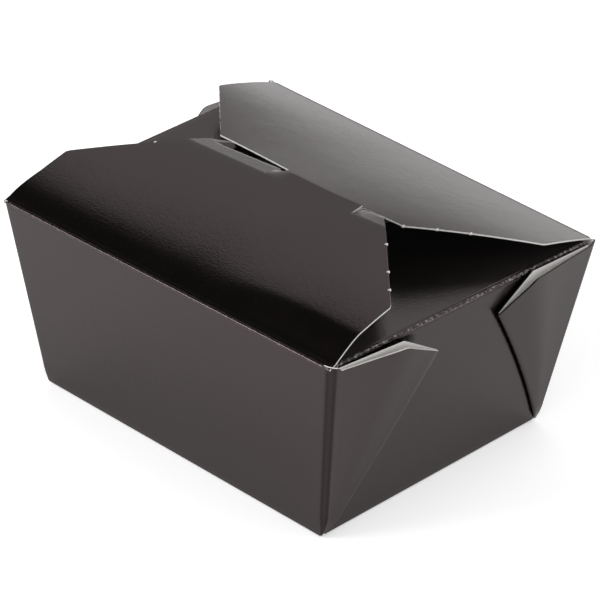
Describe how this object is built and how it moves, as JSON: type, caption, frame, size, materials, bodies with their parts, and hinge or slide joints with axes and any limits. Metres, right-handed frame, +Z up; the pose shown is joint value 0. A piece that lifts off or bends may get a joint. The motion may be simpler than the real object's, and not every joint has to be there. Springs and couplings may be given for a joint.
{
  "type": "folded paperboard takeaway box",
  "caption": "Folded black paperboard food box with tapered walls, web corners, two end flaps and a slot-and-tongue top whose back flap swings open.",
  "frame": {"origin": "middle of the underside of the base, on the table", "axes": "+X along the long walls, -Y towards the slotted front flap, +Z up"},
  "size_m": [0.1368, 0.1094, 0.0767],
  "materials": {
    "coated_board": "gloss"
  },
  "bodies": {
    "carton": {"carton": "coated_board"},
    "tongue_flap": {"tongue_flap": "coated_board"}
  },
  "joints": [
    {"name": "flap_hinge", "type": "hinge", "parent": "carton", "child": "tongue_flap", "pos_m": [0, 0.05445, 0.0616], "axis": [-1, 0, 0], "range_deg": [0, 195]}
  ]
}
